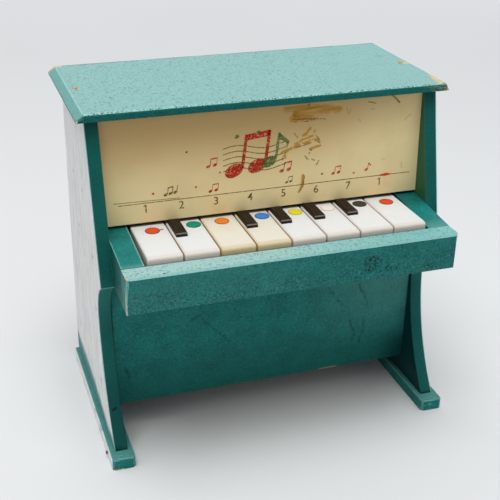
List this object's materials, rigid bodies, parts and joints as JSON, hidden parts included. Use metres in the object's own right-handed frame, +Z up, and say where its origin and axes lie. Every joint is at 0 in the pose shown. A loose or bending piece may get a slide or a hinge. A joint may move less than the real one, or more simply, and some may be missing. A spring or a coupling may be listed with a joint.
{
  "type": "toy piano",
  "caption": "Toy upright piano: wooden case on two feet, coloured-dot keys on one rod, each lifting a hammer to a steel tone bar behind a fascia with a number scale.",
  "frame": {"origin": "floor level, in the middle of the object's width and depth", "axes": "+Z up, +X to the player's right, +Y to the back, so the keys face -Y"},
  "size_m": [0.2372, 0.1642, 0.221],
  "materials": {
    "teal_paint": "teal paint with fine dark flecks, worn to bare wood at corners",
    "white_side_paint": "white paint outside, teal on the edges and inside",
    "cream_board": "cream lacquered hardboard with a printed number scale",
    "hardboard": "bare brown hardboard",
    "bare_wood": "bare pale wood",
    "white_key_plastic": "white moulded plastic",
    "cream_key_plastic": "yellowed white moulded plastic",
    "dark_cap_plastic": "brown-black moulded plastic",
    "hammer_plastic": "off-white moulded plastic",
    "red_felt": "pressed felt",
    "steel": "plain steel wire and nails",
    "tone_steel": "plated steel strip",
    "red_sticker": "vinyl sticker",
    "green_sticker": "vinyl sticker",
    "orange_sticker": "vinyl sticker",
    "blue_sticker": "vinyl sticker",
    "yellow_sticker": "vinyl sticker",
    "white_sticker": "faded vinyl sticker",
    "grey_sticker": "vinyl sticker"
  },
  "bodies": {
    "case": {"top_board": "teal_paint", "left_side_panel": "white_side_paint", "right_side_panel": "white_side_paint", "left_foot": "teal_paint", "right_foot": "teal_paint", "fascia_panel": "cream_board", "lower_front_panel": "teal_paint", "back_panel": "hardboard", "key_bed": "bare_wood", "left_cheek": "teal_paint", "right_cheek": "teal_paint", "key_rail": "teal_paint", "key_pivot_rod": "steel", "hammer_pivot_rod": "steel", "front_tone_rail": "bare_wood", "rear_tone_rail": "bare_wood", "tone_felts": "red_felt", "tone_bar_pins": "steel", "key_stop_felt": "red_felt", "key_rest_felt": "red_felt", "lid_screws": "steel", "case_nails": "steel", "foot_tacks": "steel", "tone_bar_1": "tone_steel", "tone_bar_2": "tone_steel", "tone_bar_3": "tone_steel", "tone_bar_4": "tone_steel", "tone_bar_5": "tone_steel", "tone_bar_6": "tone_steel", "tone_bar_7": "tone_steel", "tone_bar_8": "tone_steel"},
    "key_1": {"white_key_1": "white_key_plastic", "colour_dot_1": "red_sticker"},
    "hammer_lever_1": {"hammer_1": "hammer_plastic"},
    "key_2": {"white_key_2": "white_key_plastic", "colour_dot_2": "green_sticker", "black_cap_2": "dark_cap_plastic"},
    "hammer_lever_2": {"hammer_2": "hammer_plastic"},
    "key_3": {"white_key_3": "cream_key_plastic", "colour_dot_3": "orange_sticker"},
    "hammer_lever_3": {"hammer_3": "hammer_plastic"},
    "key_4": {"white_key_4": "cream_key_plastic", "colour_dot_4": "blue_sticker", "black_cap_4": "dark_cap_plastic"},
    "hammer_lever_4": {"hammer_4": "hammer_plastic"},
    "key_5": {"white_key_5": "white_key_plastic", "colour_dot_5": "yellow_sticker", "black_cap_5": "dark_cap_plastic"},
    "hammer_lever_5": {"hammer_5": "hammer_plastic"},
    "key_6": {"white_key_6": "white_key_plastic", "colour_dot_6": "white_sticker", "black_cap_6": "dark_cap_plastic"},
    "hammer_lever_6": {"hammer_6": "hammer_plastic"},
    "key_7": {"white_key_7": "white_key_plastic", "colour_dot_7": "grey_sticker", "black_cap_7": "dark_cap_plastic"},
    "hammer_lever_7": {"hammer_7": "hammer_plastic"},
    "key_8": {"white_key_8": "white_key_plastic", "colour_dot_8": "red_sticker"},
    "hammer_lever_8": {"hammer_8": "hammer_plastic"}
  },
  "joints": [
    {"name": "key_1_hinge", "type": "hinge", "parent": "case", "child": "key_1", "pos_m": [-0.0784, -0.00465, 0.13608], "axis": [1, 0, 0], "range_deg": [0, 4.5], "stiffness_Nm_per_rad": 0.06, "springref_deg": -11.46},
    {"name": "hammer_1_hinge", "type": "hinge", "parent": "case", "child": "hammer_lever_1", "pos_m": [-0.0784, 0.04345, 0.15208], "axis": [-1, 0, 0], "range_deg": [0, 9]},
    {"name": "key_2_hinge", "type": "hinge", "parent": "case", "child": "key_2", "pos_m": [-0.056, -0.00465, 0.13608], "axis": [1, 0, 0], "range_deg": [0, 4.5], "stiffness_Nm_per_rad": 0.06, "springref_deg": -11.46},
    {"name": "hammer_2_hinge", "type": "hinge", "parent": "case", "child": "hammer_lever_2", "pos_m": [-0.056, 0.04345, 0.15208], "axis": [-1, 0, 0], "range_deg": [0, 9]},
    {"name": "key_3_hinge", "type": "hinge", "parent": "case", "child": "key_3", "pos_m": [-0.0336, -0.00465, 0.13608], "axis": [1, 0, 0], "range_deg": [0, 4.5], "stiffness_Nm_per_rad": 0.06, "springref_deg": -11.46},
    {"name": "hammer_3_hinge", "type": "hinge", "parent": "case", "child": "hammer_lever_3", "pos_m": [-0.0336, 0.04345, 0.15208], "axis": [-1, 0, 0], "range_deg": [0, 9]},
    {"name": "key_4_hinge", "type": "hinge", "parent": "case", "child": "key_4", "pos_m": [-0.0112, -0.00465, 0.13608], "axis": [1, 0, 0], "range_deg": [0, 4.5], "stiffness_Nm_per_rad": 0.06, "springref_deg": -11.46},
    {"name": "hammer_4_hinge", "type": "hinge", "parent": "case", "child": "hammer_lever_4", "pos_m": [-0.0112, 0.04345, 0.15208], "axis": [-1, 0, 0], "range_deg": [0, 9]},
    {"name": "key_5_hinge", "type": "hinge", "parent": "case", "child": "key_5", "pos_m": [0.0112, -0.00465, 0.13608], "axis": [1, 0, 0], "range_deg": [0, 4.5], "stiffness_Nm_per_rad": 0.06, "springref_deg": -11.46},
    {"name": "hammer_5_hinge", "type": "hinge", "parent": "case", "child": "hammer_lever_5", "pos_m": [0.0112, 0.04345, 0.15208], "axis": [-1, 0, 0], "range_deg": [0, 9]},
    {"name": "key_6_hinge", "type": "hinge", "parent": "case", "child": "key_6", "pos_m": [0.0336, -0.00465, 0.13608], "axis": [1, 0, 0], "range_deg": [0, 4.5], "stiffness_Nm_per_rad": 0.06, "springref_deg": -11.46},
    {"name": "hammer_6_hinge", "type": "hinge", "parent": "case", "child": "hammer_lever_6", "pos_m": [0.0336, 0.04345, 0.15208], "axis": [-1, 0, 0], "range_deg": [0, 9]},
    {"name": "key_7_hinge", "type": "hinge", "parent": "case", "child": "key_7", "pos_m": [0.056, -0.00465, 0.13608], "axis": [1, 0, 0], "range_deg": [0, 4.5], "stiffness_Nm_per_rad": 0.06, "springref_deg": -11.46},
    {"name": "hammer_7_hinge", "type": "hinge", "parent": "case", "child": "hammer_lever_7", "pos_m": [0.056, 0.04345, 0.15208], "axis": [-1, 0, 0], "range_deg": [0, 9]},
    {"name": "key_8_hinge", "type": "hinge", "parent": "case", "child": "key_8", "pos_m": [0.0784, -0.00465, 0.13608], "axis": [1, 0, 0], "range_deg": [0, 4.5], "stiffness_Nm_per_rad": 0.06, "springref_deg": -11.46},
    {"name": "hammer_8_hinge", "type": "hinge", "parent": "case", "child": "hammer_lever_8", "pos_m": [0.0784, 0.04345, 0.15208], "axis": [-1, 0, 0], "range_deg": [0, 9]}
  ],
  "couplings": [
    {"joint": "hammer_1_hinge", "follows": "key_1_hinge", "ratio": 2},
    {"joint": "hammer_2_hinge", "follows": "key_2_hinge", "ratio": 2},
    {"joint": "hammer_3_hinge", "follows": "key_3_hinge", "ratio": 2},
    {"joint": "hammer_4_hinge", "follows": "key_4_hinge", "ratio": 2},
    {"joint": "hammer_5_hinge", "follows": "key_5_hinge", "ratio": 2},
    {"joint": "hammer_6_hinge", "follows": "key_6_hinge", "ratio": 2},
    {"joint": "hammer_7_hinge", "follows": "key_7_hinge", "ratio": 2},
    {"joint": "hammer_8_hinge", "follows": "key_8_hinge", "ratio": 2}
  ]
}
